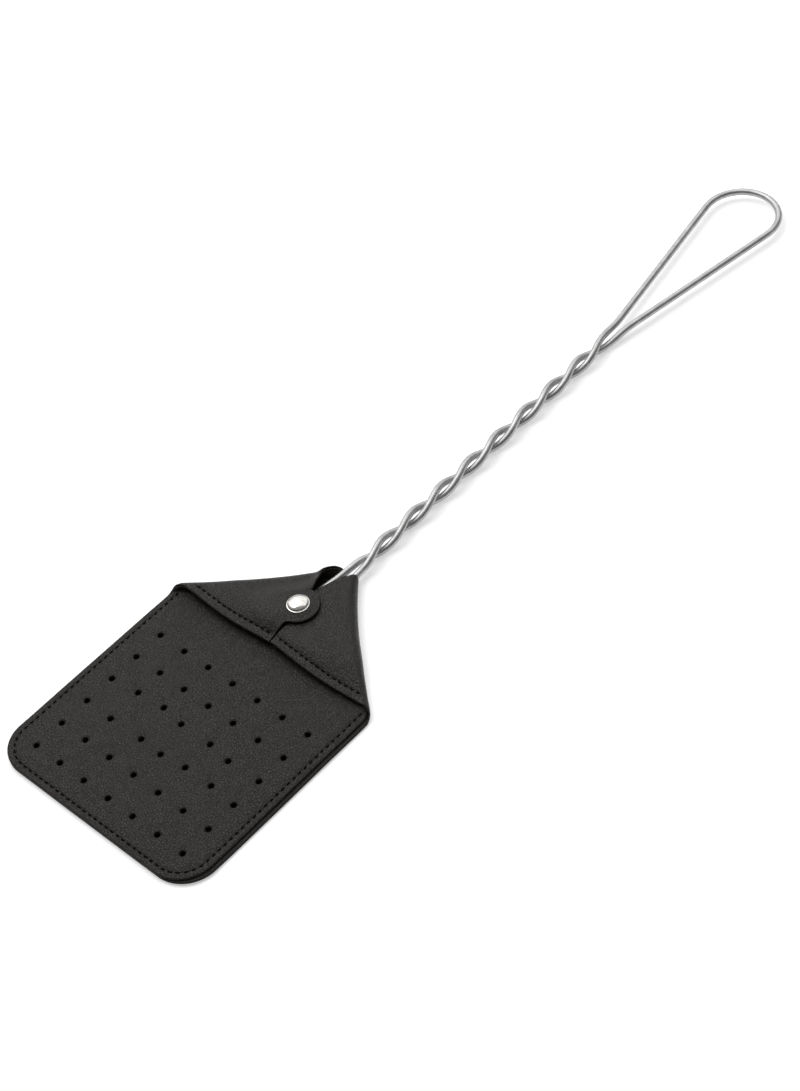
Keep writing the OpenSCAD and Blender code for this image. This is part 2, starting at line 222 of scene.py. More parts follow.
def new_mesh(name, verts, faces, slots=None, uv=None):
    """A smooth-shaded object from vertices in mm, with a slot for each face and a UV for each vertex."""
    me = bpy.data.meshes.new(name)
    corners = [tuple(v) for v in np.asarray(verts, float) * MM]
    me.from_pydata(corners, [], [tuple(int(i) for i in f) for f in faces])
    me.update()
    for p in me.polygons:
        p.use_smooth = True
    if slots is not None:
        me.polygons.foreach_set("material_index", np.asarray(slots, np.int32))
    if uv is not None:
        layer = me.uv_layers.new(name="UVMap")
        index = np.zeros(len(me.loops), np.int32)
        me.loops.foreach_get("vertex_index", index)
        layer.data.foreach_set("uv", np.asarray(uv, np.float32)[index].ravel())
    o = bpy.data.objects.new(name, me)
    bpy.context.scene.collection.objects.link(o)
    return o


# ---------------------------------------------------------------- a ply of leather in plan

EDGE_R = 0.32                         # rounding of the cut edges
INSETS = [0.05, 0.14, 0.28, 0.5]      # rows of vertices along a cut edge, which draw its rounding
RINGS = [0.1, 0.25, 0.6, 1.3]         # rows of vertices round a hole
SEAM_ROWS = [-0.55, -0.28, 0, 0.28, 0.55]    # rows of vertices along a seam, which draw its groove
ROW_FREE, GRID_FREE = 0.04, 0.7       # how far rows and grids keep from the outline
HOLE_FREE = 1.0                       # how far grids keep from a hole


def edge_round(sd):
    """How far a cut edge is rounded down at that distance from it."""
    q = np.clip(1 - sd / EDGE_R, 0, 1)
    return EDGE_R * (1 - np.sqrt(np.maximum(0, 1 - q * q)))


class Sheet:
    """A flat piece of leather in plan.

    stretches are the outline's polylines, each with whether it is a real cut edge. holes are centres and
    radii. lines are polylines that need vertices. grid is the spacing of the rest, and dense holds boxes with
    a spacing of their own.
    """

    def __init__(self, stretches, holes, lines, grid, dense=()):
        self.outline = np.concatenate([np.asarray(points, float)[:-1] for points, _ in stretches])
        self.cut = np.concatenate([np.full(len(points) - 1, cut) for points, cut in stretches])
        if np.cross(self.outline, np.roll(self.outline, -1, axis=0)).sum() < 0:
            raise ValueError("outline runs clockwise")
        self.holes = [(np.array(c, float), r) for c, r in holes]
        self.loops = [np.arange(len(self.outline))]
        fixed = [self.outline]
        for c, r in self.holes:
            ring = arc(c, r, 0, 360, r * 0.3)[:-1][::-1]
            self.loops.append(np.arange(len(ring)) + self.loops[-1][-1] + 1)
            fixed.append(ring)
        self.p = np.concatenate(fixed + self.inner_points(lines, grid, dense))
        self.tri = self.triangles()
        self.sd = self.edge_distance()

    def inner_points(self, lines, grid, dense):
        """Vertices inside the outline: rows at cut edges and holes and on the lines, then the grids."""
        a, b = self.outline, np.roll(self.outline, -1, axis=0)
        normal = np.stack([-(b - a)[:, 1], (b - a)[:, 0]], 1)
        normal /= np.maximum(np.linalg.norm(normal, axis=1, keepdims=True), 1e-9)
        # each set with how far it keeps from the outline, from the holes and from the sets before it
        sets = [(((a + b) / 2 + normal * k)[self.cut], 0.9 * k, ROW_FREE, 0) for k in INSETS]
        sets += [(arc(c, r + k, 0, 360)[:-1], ROW_FREE, ROW_FREE, 0) for c, r in self.holes for k in RINGS]
        sets += [(np.asarray(line, float), ROW_FREE, ROW_FREE, 0) for line in lines]
        mesh = brick_grid(self.outline.min(0), self.outline.max(0), grid)
        mesh += np.random.default_rng(3).uniform(-0.12, 0.12, mesh.shape) * grid
        sets.append((mesh, GRID_FREE, HOLE_FREE, 0.6))
        sets += [(brick_grid(lo, hi, step), GRID_FREE, HOLE_FREE, 0.45) for lo, hi, step in dense]
        kept = []
        for p, from_edge, from_hole, apart in sets:
            p = p[inside(p, self.outline)]
            ok = polyline_dist(p, self.outline, closed=True) > from_edge
            for c, r in self.holes:
                ok &= np.linalg.norm(p - c, axis=1) > r + from_hole
            p = p[ok]
            if apart and len(p):
                near = np.concatenate(kept)
                parts = [p[i:i + 500, None] - near[None] for i in range(0, len(p), 500)]
                gap = np.concatenate([np.linalg.norm(d, axis=2).min(1) for d in parts])
                p = p[gap > apart]
            kept.append(p)
        return kept

    def triangles(self):
        """Triangles inside the outline and outside the holes, all counter-clockwise."""
        edges = [(int(i), int(j)) for loop in self.loops for i, j in zip(loop, np.roll(loop, -1))]
        points = [Vector((float(x), float(y))) for x, y in self.p]
        made = geometry.delaunay_2d_cdt(points, edges, [], 0, 1e-5)
        source = [o[0] for o in made[3]]
        tri = np.array([[source[i] for i in f] for f in made[2]])
        mid = self.p[tri].mean(1)
        ok = inside(mid, self.outline)
        for c, r in self.holes:
            ok &= np.linalg.norm(mid - c, axis=1) > r * 0.97
        tri = tri[ok]
        a, b, c = self.p[tri[:, 0]], self.p[tri[:, 1]], self.p[tri[:, 2]]
        area = np.cross(b - a, c - a)
        tri[area < 0] = tri[area < 0][:, ::-1]
        return tri[np.abs(area) > 1e-9]

    def edge_distance(self):
        """Distance of each vertex to the nearest cut edge or hole."""
        a, b = self.outline, np.roll(self.outline, -1, axis=0)
        n = len(a)
        out = np.full(len(self.p), 1e9)
        run = []
        for i in range(n):
            if self.cut[i]:
                run.append(i)
            if (not self.cut[i] or i == n - 1) and run:
                line = np.concatenate([a[run], b[run[-1]][None]])
                out = np.minimum(out, polyline_dist(self.p, line))
                run = []
        for c, r in self.holes:
            out = np.minimum(out, np.abs(np.linalg.norm(self.p - c, axis=1) - r))
        return out

    def surfaces(self, top, bottom):
        """Vertices, faces and slots, with walls on the cut edges. Heights are given before rounding."""
        r = edge_round(self.sd)
        n = len(self.p)
        up = np.column_stack([self.p, top - r])
        down = np.column_stack([self.p, bottom + r * 0.8])
        faces = [tuple(t) for t in self.tri] + [tuple(t[::-1] + n) for t in self.tri]
        slots = [0] * len(faces)
        for k, loop in enumerate(self.loops):
            for i in range(len(loop)):
                if k == 0 and not self.cut[i]:
                    continue
                a, b = int(loop[i]), int(loop[(i + 1) % len(loop)])
                faces.append((a, a + n, b + n, b))
                slots.append(1)
        return np.concatenate([up, down]), faces, slots


# ---------------------------------------------------------------- outlines of the leather


def near_side_dip(x):
    """The flaps' lower edges bow a little towards the bottom."""
    q = np.clip((np.abs(x) - 1) / 50.0, 0, 1)
    return -1.3 * np.sin(np.pi * q) ** 1.2


VENT_R = 1.2
VENT_DX, VENT_DY = 14.3, 14.15        # spacing of the vents
VENT_Y0 = YB + 13                     # lowest row
# How far the vents of two rows are off the grid, as in the photograph
OFF_GRID = {
    2: [[0, 0], [0.5, -0.5], [4, 0], [1.5, -0.5], [0, 1], [0.5, 1], [0, 0]],
    3: [[0, 0], [0, 1.5], [0, 2.5], [-2.5, 1], [0, 1], [-2.5, -0.5], [0, 0]],
}


def vent_centres():
    """Centres of the vents, six rows of seven."""
    out = []
    for r in range(6):
        for c in range(7):
            off = OFF_GRID.get(r, [[0, 0]] * 7)[c]
            out.append(np.array([(c - 3) * VENT_DX - SETBACK / 2 + off[0], VENT_Y0 + r * VENT_DY + off[1]]))
    return out


VENTS = vent_centres()


def v_where_x(x):
    """Place along the fold axis, extended below the flaps, where it meets that x."""
    return (x - P0[0]) / DIR[0]


def panel_sheet(setback):
    """The panel runs from the bottom edge up to the two fold axes."""
    xr, xl = HW - setback, -HW
    r = CORNER_R
    vr, vl = v_where_x(xr), v_where_x(HW)
    right = axis_at(np.linspace(vr, FOLD_L, 60))
    left = axis_at(np.linspace(vl, FOLD_L, 60)) * [-1, 1]
    start = np.array([xr, right[0][1]])
    side_r = resample([[xr, YB + r], start], 1.2)
    side_l = resample([[xl, left[0][1]], [xl, YB + r]], 1.2)
    bottom = resample([[xl + r, YB], [xr - r, YB]], 1.2)
    stretches = [
        (bottom, True),
        (arc([xr - r, YB + r], r, 270, 360), True),
        (side_r, True),
        (right, False),
        (resample([right[-1], left[-1]], 0.7), True),
        (left[::-1], False),
        (side_l, True),
        (arc([xl + r, YB + r], r, 180, 270), True),
    ]
    return Sheet(stretches, [(c, VENT_R) for c in VENTS], [seam_path(k) for k in SEAM_ROWS], 2.6)


# The panel's seam: left side, corner, bottom, corner, right side
SX0, SX1 = -HW + SEAM, HW - SETBACK - SEAM
SY0 = YB + SEAM
SR = CORNER_R - SEAM
STOP = YF - 1.5
SIDE = STOP - SY0 - SR
ARC = SR * math.pi / 2
BASE = SX1 - SX0 - 2 * SR
SEAM_L = 2 * SIDE + 2 * ARC + BASE


def seam_at(s):
    """Point and heading along the panel's seam."""
    if s < SIDE:
        return SX0, STOP - s, -90.0
    if s < SIDE + ARC:
        a = 180 + (s - SIDE) / ARC * 90
        return SX0 + SR + SR * math.cos(math.radians(a)), SY0 + SR + SR * math.sin(math.radians(a)), a + 90
    if s < SIDE + ARC + BASE:
        return SX0 + SR + s - SIDE - ARC, SY0, 0.0
    if s < SIDE + 2 * ARC + BASE:
        a = 270 + (s - SIDE - ARC - BASE) / ARC * 90
        return SX1 - SR + SR * math.cos(math.radians(a)), SY0 + SR + SR * math.sin(math.radians(a)), a + 90
    return SX1, SY0 + SR + s - SIDE - 2 * ARC - BASE, 90.0


def seam_path(offset, step=0.75):
    """Points along the panel's seam, at that distance beside it."""
    out = []
    for s in np.linspace(0, SEAM_L - 0.01, int(SEAM_L / step)):
        x, y, h = seam_at(s)
        h = math.radians(h)
        out.append([x + math.sin(h) * offset, y - math.cos(h) * offset])
    return np.array(out)


SEAM_LINE = seam_path(0, 0.5)

# ---------------------------------------------------------------- heights of the leather


def corner_curl(p):
    """Close to the ends of the folds the sides of the panel begin to curl up."""
    d = np.column_stack([np.abs(p[:, 0]), p[:, 1]]) - P0
    over = d @ NRM
    along = d @ DIR
    begin, end = smooth((along + 14) / 12), smooth((12 - along) / 10)
    return 0.10 * np.clip(over + 3.5, 0, None) ** 2 * begin * end * 0.35


GROOVE, GROOVE_W = 0.3, 0.42          # depth and half width of a seam's groove


def panel_shape(p):
    """Slow unevenness and a little lift at the bottom corners, the same for both plies."""
    u = 0.16 * lattice_noise(p, 31, 11) + 0.10 * lattice_noise(p, 13, 12) + 0.14
    lift = 0.30 * smooth((YB + 26 - p[:, 1]) / 26) * smooth((np.abs(p[:, 0]) - 20) / 35)
    return np.clip(u, 0, None) * smooth((YF - 2 - p[:, 1]) / 20) + lift


def groove(p, line, depth):
    """Depth of the groove that a seam pulls into the leather."""
    return depth * np.exp(-(polyline_dist(p, line) / GROOVE_W) ** 2)


def vent_dimple(p):
    """How far the leather is pressed down round the punched vents."""
    out = np.zeros(len(p))
    for c in VENTS:
        d = np.linalg.norm(p - c, axis=1) - VENT_R
        out = np.maximum(out, 0.22 * np.exp(-np.clip(d, 0, None) / 0.7))
    return out


# ---------------------------------------------------------------- flaps: shape of the sheet in plan

R_OUT = (FOLD_R, FOLD_R - PLY + PLY_GAP)            # outer and inner radius of the outer ply
R_IN = (FOLD_R - PLY - PLY_GAP, FOLD_R - 2 * PLY)   # and of the inner ply
SPLIT_L, SPLIT_R = -1.5, -0.9         # where the two flaps end, next to each other
TAB_R, FILLET = 9.2, 2.5              # left flap's tab, and the hollow at its foot
TONGUE_R = 6.4                        # right flap's tongue, under the tab
BITE_R = 9.6                          # bite in the left flap's inner ply, which lets the tongue in
STUD_HOLE, SOCKET_HOLE = 0.85, 2.7
INNER_IN = 0.25                       # how far the inner ply ends inside the outer one
LIP = np.array([-4.5, TAB[1] + TAB_R + 1.2])        # where the flaps' lips meet


def cross_v(a, b):
    """Place along the right fold's curve where it meets the line from a to b."""
    v = np.linspace(0, FOLD_L, 4000)
    q = axis_at(v)
    d = b - a
    s = (q - a) @ np.array([-d[1], d[0]])
    k = np.where(np.diff(np.sign(s)) != 0)[0]
    return float(v[k[-1]])


# Lips of the flaps, from where they meet up to the fold, which ends where a lip's last stretch meets it
left_lip = np.array([LIP, [-5.4, -82.6], [-6.4, -79.6], [-7.3, -77.2], [-9.4, -72.4]])
right_lip = np.array([LIP + [0.5, 0.1], [-2.7, -80.8], [-1.2, -76.4], [0.4, -72.2], [3.4, -69.3]])
mirror = np.array([-1.0, 1.0])
V_LEFT = cross_v(left_lip[3] * mirror, left_lip[4] * mirror)
V_RIGHT = cross_v(right_lip[3], right_lip[4])


def flap_low(x0, x1, inset):
    """Lower edge of a flap, from x0 to x1."""
    x = np.linspace(x0, x1, 60)
    return np.column_stack([x, YF + inset * 0.8 + near_side_dip(x)])


def right_edges(fold, outer):
    """Cut edges of the right flap, from the mouth round to the fold's lower end."""
    inset = 0.0 if outer else INNER_IN
    lip = resample(np.concatenate([fold[-1:], right_lip[3::-1]]), 0.7)
    if not outer:
        lip = lip + [0.25, -0.1]
        lip[0] = fold[-1]
    a0 = math.degrees(math.atan2(math.sqrt(TONGUE_R ** 2 - 0.9 ** 2), -0.9))
    end_y = -math.sqrt(TONGUE_R ** 2 - (SPLIT_R + inset - TAB[0]) ** 2)
    a1 = 360 + math.degrees(math.atan2(end_y, SPLIT_R + inset - TAB[0]))
    tongue = arc(TAB, TONGUE_R, a0, a1)
    down = resample([lip[-1], tongue[0]], 0.8)
    low = flap_low(SPLIT_R + inset, fold[0][0], inset)
    low[-1] = fold[0]
    split = resample([tongue[-1], low[0]], 0.7)
    return [lip, down, tongue, split, low]


def left_edges(fold, outer):
    """Cut edges of the left flap, from the fold's lower end round to the mouth."""
    inset = 0.0 if outer else INNER_IN
    lip = resample(np.concatenate([left_lip[:4], fold[-1:]]), 0.7)
    if not outer:
        lip = lip + [-0.25, -0.1]
        lip[-1] = fold[-1]
    edge = SPLIT_L - inset
    low = flap_low(fold[0][0], edge, inset)
    low[0] = fold[0]
    if outer:
        foot = TAB[1] - math.sqrt((TAB_R + FILLET) ** 2 - (edge + FILLET - TAB[0]) ** 2)
        c = np.array([edge + FILLET, foot])
        hollow = arc(c, FILLET, 180, math.degrees(math.atan2(TAB[1] - foot, TAB[0] - c[0])), 0.5)
        start = math.degrees(math.atan2(foot - TAB[1], c[0] - TAB[0]))
        end = math.degrees(math.atan2(math.sqrt(TAB_R ** 2 - 1.2 ** 2), -1.2))
        around = [hollow, arc(TAB, TAB_R, start, end, 0.6)]
    else:
        y = TAB[1] - math.sqrt(BITE_R ** 2 - (edge - TAB[0]) ** 2)
        start = math.degrees(math.atan2(y - TAB[1], edge - TAB[0])) + 360
        end = math.degrees(math.atan2(math.sqrt(BITE_R ** 2 - 1.6 ** 2), -1.6))
        around = [arc(TAB, BITE_R, start, end, 0.7)]
    up = resample([around[-1][-1], lip[0]], 0.6 if outer else 0.4)
    split = resample([low[-1], around[0][0]], 0.7)
    return [low, split] + around + [up, lip]


def flap_sheet(side, outer):
    """A flap's ply in plan, and the places along the fold's axis and the vertices where its fold begins."""
    v = np.linspace(0, V_RIGHT if side > 0 else V_LEFT, 56)
    fold = axis_at(v) * [side, 1]
    if side > 0:
        stretches = [(fold, False)] + [(edge, True) for edge in right_edges(fold, outer)]
        holes = [(TAB, STUD_HOLE)]
        dense = [((-10, YF - 2), (16, YM), 1.3)]
    else:
        stretches = [(edge, True) for edge in left_edges(fold, outer)] + [(fold[::-1], False)]
        holes = [(TAB, SOCKET_HOLE)] if outer else []
        dense = [((-22, YF - 2), (8, YM), 1.3)]
    lines = [flap_seam(side, off) for off in SEAM_ROWS] if outer else []
    sheet = Sheet(stretches, holes, lines, 2.2, dense)
    n, m = len(sheet.outline), len(v)
    ids = np.arange(m) if side > 0 else np.concatenate([[0], np.arange(n - (m - 1), n)[::-1]])
    return sheet, v, ids


def flap_seam(side, off=0.0):
    """Points along a flap's seam, at that distance beside it."""
    x = np.arange(0.6, AX0 - 4, 0.75) if side > 0 else np.arange(-AX0 + 4, -3.2, 0.75)
    return np.column_stack([x, YF + SEAM + 0.4 + 0.8 * near_side_dip(x) + off])


FLAP_SEAM = {1: flap_seam(1), -1: flap_seam(-1)}


def lip_raise(p):
    """The left flap's lip stands up where the leather is bent back at the mouth."""
    lip = polyline_dist(p, left_lip)
    return 1.6 * np.exp(-(lip / 2.5) ** 2) * smooth((p[:, 1] + 85.5) / 6)


def flap_shift(p, side):
    """Height of the flap above its flat CAD level: sag, the left flap's step and the tab's droop."""
    x = np.abs(p[:, 0])
    q = np.column_stack([p[:, 0] * side, p[:, 1]])
    over = polyline_dist(q, axis_at(np.linspace(-8, FOLD_L + 6, 120)))    # distance from the fold's axis
    # the lower edge hangs down by the sag, which fades out above it
    outward = 1.35 * smooth((x - 10) / 34) if side > 0 else -0.7 * smooth((x - 22) / 26)
    sag = 1.15 + 0.45 * smooth((x - 2) / 12) + outward
    width = 8 + 9 * smooth((x - 6) / 36)
    edge = YF + near_side_dip(p[:, 0])
    z = -sag * (1 - smooth((p[:, 1] - edge) / width))
    r = np.linalg.norm(p - TAB, axis=1)
    belly = smooth(over / 9) * smooth((p[:, 1] - edge) / 10) * smooth((r - 8) / 8)
    z = z + 0.14 * (1 + lattice_noise(p, 15, 21 + side)) * belly
    if side < 0:
        # the left flap climbs over the right one, and its tab droops past the cap
        z = z + 2.0 * smooth((p[:, 0] + 30) / 23) * smooth((p[:, 1] - YF - 1) / 11) * smooth(over / 9)
        front = smooth((p[:, 0] + 8) / 5)
        z = z - 0.45 * smooth((r - 5.2) / 4.2) * front * smooth((TAB[1] + 8 - p[:, 1]) / 4)
    return z


# ---------------------------------------------------------------- folds

# Angles round a fold, from 90 at the flap to -90 at the panel
PHI = np.concatenate([np.linspace(90, 60, 5)[:-1], np.linspace(60, -60, 17)[:-1], np.linspace(-60, -90, 5)])
# Mouth end of each fold and how far its lip opens, both by angle
END_R = ([-90, -30, 0, 30, 60, 90],
         [FOLD_L, FOLD_L - 0.3, FOLD_L - 0.6, V_RIGHT + 0.9, V_RIGHT + 0.5, V_RIGHT])
END_L = ([-90, -40, -10, 10, 35, 60, 90],
         [FOLD_L, FOLD_L + 0.2, FOLD_L - 0.6, FOLD_L - 2.0, FOLD_L - 4.6, (V_LEFT + FOLD_L - 6) / 2, V_LEFT])
OPEN_R = ([-90, -45, 0, 30, 60, 90], [0, 0.3, 1, 0.9, 0.5, 0])
OPEN_L = ([-90, -45, 0, 30, 60, 90], [0, 0.2, 0.8, 1.1, 1.1, 1])


def tube_ends(side, phi, outer):
    """Lower and mouth end of the fold, along its axis, at that angle."""
    x_edge = HW - (SETBACK if (side > 0 and not outer) else 0)
    low = v_where_x(x_edge) * (1 - ((phi + 90) / 180) ** (1 if side > 0 else 1.7))
    return low, np.interp(phi, *(END_R if side > 0 else END_L))


def wing(name, side, outer):
    """One ply of a flap with its fold, from the panel's edge round to the flap's cut edges, as one mesh."""
    sheet, v_flap, fold_ids = flap_sheet(side, outer)
    r1, r0 = R_OUT if outer else R_IN
    p = sheet.p
    shift = flap_shift(p, side) + (lip_raise(p) if side < 0 else 0)
    top, bottom = AZ + r1 + shift, AZ + r0 + shift
    if outer:
        top = top - groove(p, FLAP_SEAM[side], GROOVE) - 0.12 * (1 - smooth(sheet.sd / 3.4))
    verts, faces, slots = sheet.surfaces(top, bottom)
    verts = list(verts)
    first = [int(i) for i in fold_ids]
    rings = [(first, [i + len(p) for i in first])]
    m = len(v_flap)
    q = v_flap / v_flap[-1]
    raised = lip_raise(axis_at(v_flap) * mirror) if side < 0 else 0.5 * np.exp(-(v_flap[-1] - v_flap) / 3.0)
    for phi in PHI[1:]:
        lo, hi = tube_ends(side, phi, outer)
        v = lo + q * (hi - lo)
        axis = axis_at(v)
        a = math.radians(phi)
        # the roll is tighter where the flap sags, and keeps its lower side on the panel's level
        roll = AZ + flap_shift(axis * [side, 1], side) / 2
        opened = np.interp(phi, *(OPEN_L if side < 0 else OPEN_R))
        place = np.column_stack([v, np.full(m, phi * 0.12)])
        wave = 0.10 * lattice_noise(place, 9, 31 + side) * math.cos(a)
        rr = edge_round(np.maximum(np.minimum(v - lo, hi - v), 0))
        ring = []
        for radius, rounded in ((r1, -rr), (r0, rr * 0.8)):
            rad = roll - (FOLD_R - radius) + raised * opened + wave + rounded
            pos = axis + NRM * (rad * math.cos(a))[:, None]
            z = roll + rad * math.sin(a)
            if phi < -60:
                z = np.maximum(z, 0.0)
            ring.append(list(range(len(verts), len(verts) + m)))
            verts += list(np.column_stack([pos[:, 0] * side, pos[:, 1], z]))
        rings.append(ring)

    def add(face, slot, turned):
        faces.append(face[::-1] if turned else face)
        slots.append(slot)

    flip = side < 0
    for (t0, b0), (t1, b1) in zip(rings[:-1], rings[1:]):
        for i in range(m - 1):
            add((t0[i], t1[i], t1[i + 1], t0[i + 1]), 0, flip)
            add((b0[i], b0[i + 1], b1[i + 1], b1[i]), 0, flip)
        for e in (0, m - 1):
            add((t0[e], b0[e], b1[e], t1[e]), 1, (e == 0) == flip)
    outs, ins = rings[-1]
    for i in range(m - 1):
        add((outs[i], ins[i], ins[i + 1], outs[i + 1]), 1, flip)
    verts, faces = drop_loose(verts, faces)
    return new_mesh(name, verts, faces, slots, verts[:, :2] * UV_SCALE)


# ---------------------------------------------------------------- materials


def material(name):
    """A new material with its node tree and its shader."""
    m = bpy.data.materials.new(name)
    m.use_nodes = True
    nt = m.node_tree
    nt.nodes.clear()
    out = nt.nodes.new("ShaderNodeOutputMaterial")
    bsdf = nt.nodes.new("ShaderNodeBsdfPrincipled")
    nt.links.new(bsdf.outputs[0], out.inputs[0])
    return m, nt, bsdf


def node(nt, kind, **values):
    """A new node; in_NAME sets the input NAME, and any other name a property."""
    n = nt.nodes.new(kind)
    for k, v in values.items():
        if k.startswith("in_"):
            n.inputs[k[3:].replace("_", " ")].default_value = v
        else:
            setattr(n, k, v)
    return n


def ramp(nt, source, stops):
    """Colour ramp over a value, from stops of position and colour."""
    r = nt.nodes.new("ShaderNodeValToRGB")
    el = r.color_ramp.elements
    while len(el) > 1:
        el.remove(el[-1])
    el[0].position, el[0].color = stops[0][0], stops[0][1]
    for pos, col in stops[1:]:
        e = el.new(pos)
        e.color = col
    nt.links.new(source, r.inputs[0])
    return r.outputs[0]


def grey(v, warm=0.0):
    """A grey of that value, or a warmer tone."""
    return (v * (1 + warm), v, v * (1 - warm), 1)


def object_noise(nt, scale, detail, **values):
    """Noise in the object's own space."""
    n = node(nt, "ShaderNodeTexNoise", in_Scale=scale, in_Detail=detail, **values)
    nt.links.new(node(nt, "ShaderNodeTexCoord").outputs["Object"], n.inputs["Vector"])
    return n.outputs[0]


def relief(nt, height, strength, distance, under=None):
    """Normal of a bump, on top of another one if that is given."""
    b = node(nt, "ShaderNodeBump", in_Strength=strength, in_Distance=distance)
    nt.links.new(height, b.inputs["Height"])
    if under:
        nt.links.new(under, b.inputs["Normal"])
    return b.outputs[0]


def add_scaled(nt, source, factor, other):
    """source times factor, plus other."""
    n = node(nt, "ShaderNodeMath", operation="MULTIPLY_ADD")
    nt.links.new(source, n.inputs[0])
    n.inputs[1].default_value = factor
    nt.links.new(other, n.inputs[2])
    return n.outputs[0]


def leather(name, base, warm, rough, grain, bump):
    """Dyed leather: pebbles and fine cracks of that grain size, slow waves, and a tone that varies slowly."""
    m, nt, bsdf = material(name)
    co = node(nt, "ShaderNodeTexCoord").outputs["Object"]
    warp = node(nt, "ShaderNodeTexNoise", in_Scale=900.0, in_Detail=2.0)
    nt.links.new(co, warp.inputs["Vector"])
    mix = node(nt, "ShaderNodeMix", data_type="VECTOR")
    mix.inputs[0].default_value = 0.0004
    nt.links.new(co, mix.inputs[4])
    nt.links.new(warp.outputs["Color"], mix.inputs[5])
    cell = node(nt, "ShaderNodeTexVoronoi", feature="SMOOTH_F1", in_Scale=1 / grain, in_Smoothness=0.35)
    nt.links.new(mix.outputs[1], cell.inputs["Vector"])
    crack = node(nt, "ShaderNodeTexVoronoi", feature="DISTANCE_TO_EDGE", in_Scale=0.55 / grain)
    nt.links.new(mix.outputs[1], crack.inputs["Vector"])
    cracks = ramp(nt, crack.outputs["Distance"], [(0.0, grey(0)), (0.14, grey(0.8)), (0.4, grey(1))])
    pebbles = ramp(nt, cell.outputs["Distance"], [(0.0, grey(1)), (0.55, grey(0.55)), (1.0, grey(0))])
    slow = object_noise(nt, 85.0, 4.0, in_Roughness=0.6)
    height = add_scaled(nt, object_noise(nt, 4200.0, 3.0), 0.35, add_scaled(nt, pebbles, 0.75, cracks))
    normal = relief(nt, slow, 0.35, 0.0012, relief(nt, height, bump, 0.00019))
    nt.links.new(normal, bsdf.inputs["Normal"])
    tone = ramp(nt, slow, [(0.3, grey(base * 0.8, warm)), (0.55, grey(base, warm)),
                           (0.75, grey(base * 1.25, warm * 0.8))])
    # painted shade: the base colour is darkened in the grain's cracks, where the bump is low
    painted_crack_shade = node(nt, "ShaderNodeMix", data_type="RGBA", blend_type="MULTIPLY")
    painted_crack_shade.inputs[0].default_value = 0.55
    nt.links.new(tone, painted_crack_shade.inputs[6])
    nt.links.new(cracks, painted_crack_shade.inputs[7])
    nt.links.new(painted_crack_shade.outputs[2], bsdf.inputs["Base Color"])
    polish = ramp(nt, height, [(0.3, grey(rough + 0.2)), (1.0, grey(rough - 0.1))])
    nt.links.new(polish, bsdf.inputs["Roughness"])
    bsdf.inputs["Specular IOR Level"].default_value = 0.28
    return m


def painted_edge(name):
    """Edge paint, a little browner than the faces and worn lighter in places."""
    m, nt, bsdf = material(name)
    wear = object_noise(nt, 700.0, 4.0)
    col = ramp(nt, wear, [(0.3, (0.024, 0.016, 0.014, 1)), (0.7, (0.055, 0.040, 0.035, 1))])
    nt.links.new(col, bsdf.inputs["Base Color"])
    nt.links.new(ramp(nt, wear, [(0.3, grey(0.42)), (0.7, grey(0.6))]), bsdf.inputs["Roughness"])
    nt.links.new(relief(nt, wear, 0.4, 0.0001), bsdf.inputs["Normal"])
    return m


def thread_material(name):
    """Waxed black thread with fine fibres."""
    m, nt, bsdf = material(name)
    fibre = object_noise(nt, 5200.0, 3.0)
    col = ramp(nt, fibre, [(0.35, grey(0.001)), (0.65, grey(0.004, 0.04))])
    nt.links.new(col, bsdf.inputs["Base Color"])
    bsdf.inputs["Roughness"].default_value = 0.85
    bsdf.inputs["Specular IOR Level"].default_value = 0.08
    nt.links.new(relief(nt, fibre, 0.5, 0.00008), bsdf.inputs["Normal"])
    return m


def steel_material(name):
    """Drawn wire: scratches along it, which follow its UV, and slow stains."""
    m, nt, bsdf = material(name)
    mapping = node(nt, "ShaderNodeMapping")
    mapping.inputs["Scale"].default_value = (0.35, 60.0, 1.0)
    nt.links.new(node(nt, "ShaderNodeUVMap", uv_map="UVMap").outputs[0], mapping.inputs[0])
    draw = node(nt, "ShaderNodeTexNoise", in_Scale=9.0, in_Detail=5.0, in_Roughness=0.65)
    nt.links.new(mapping.outputs[0], draw.inputs["Vector"])
    stains = object_noise(nt, 240.0, 5.0)
    col = ramp(nt, stains, [(0.3, grey(0.38, 0.01)), (0.6, grey(0.47)), (0.8, grey(0.54))])
    nt.links.new(col, bsdf.inputs["Base Color"])
    bsdf.inputs["Metallic"].default_value = 1.0
    dull = ramp(nt, draw.outputs[0], [(0.25, grey(0.34)), (0.75, grey(0.52))])
    nt.links.new(dull, bsdf.inputs["Roughness"])
    scratches = relief(nt, draw.outputs[0], 0.25, 0.00006)
    nt.links.new(relief(nt, stains, 0.12, 0.0004, scratches), bsdf.inputs["Normal"])
    return m


def nickel_material(name, rough):
    """Plated metal with faint blemishes."""
    m, nt, bsdf = material(name)
    marks = object_noise(nt, 900.0, 6.0)
    col = ramp(nt, marks, [(0.3, (0.54, 0.52, 0.49, 1)), (0.6, (0.65, 0.63, 0.60, 1))])
    nt.links.new(col, bsdf.inputs["Base Color"])
    bsdf.inputs["Metallic"].default_value = 1.0
    nt.links.new(ramp(nt, marks, [(0.3, grey(rough + 0.08)), (0.7, grey(rough))]), bsdf.inputs["Roughness"])
    nt.links.new(relief(nt, marks, 0.08, 0.0001), bsdf.inputs["Normal"])
    return m


LEATHER = leather("leather_grain", 0.011, 0.28, 0.48, 0.00060, 0.8)
FLAP_LEATHER = leather("leather_flap", 0.011, 0.26, 0.42, 0.00064, 0.8)
LINING = leather("leather_lining", 0.010, 0.3, 0.62, 0.0005, 0.5)
EDGE = painted_edge("leather_edge_paint")
THREAD = thread_material("thread_black")
STEEL = steel_material("wire_steel")
NICKEL = nickel_material("snap_nickel", 0.1)
NICKEL_IN = nickel_material("snap_nickel_inside", 0.25)


def dress(o, *mats):
    o.data.materials.clear()
    for m in mats:
        o.data.materials.append(m)


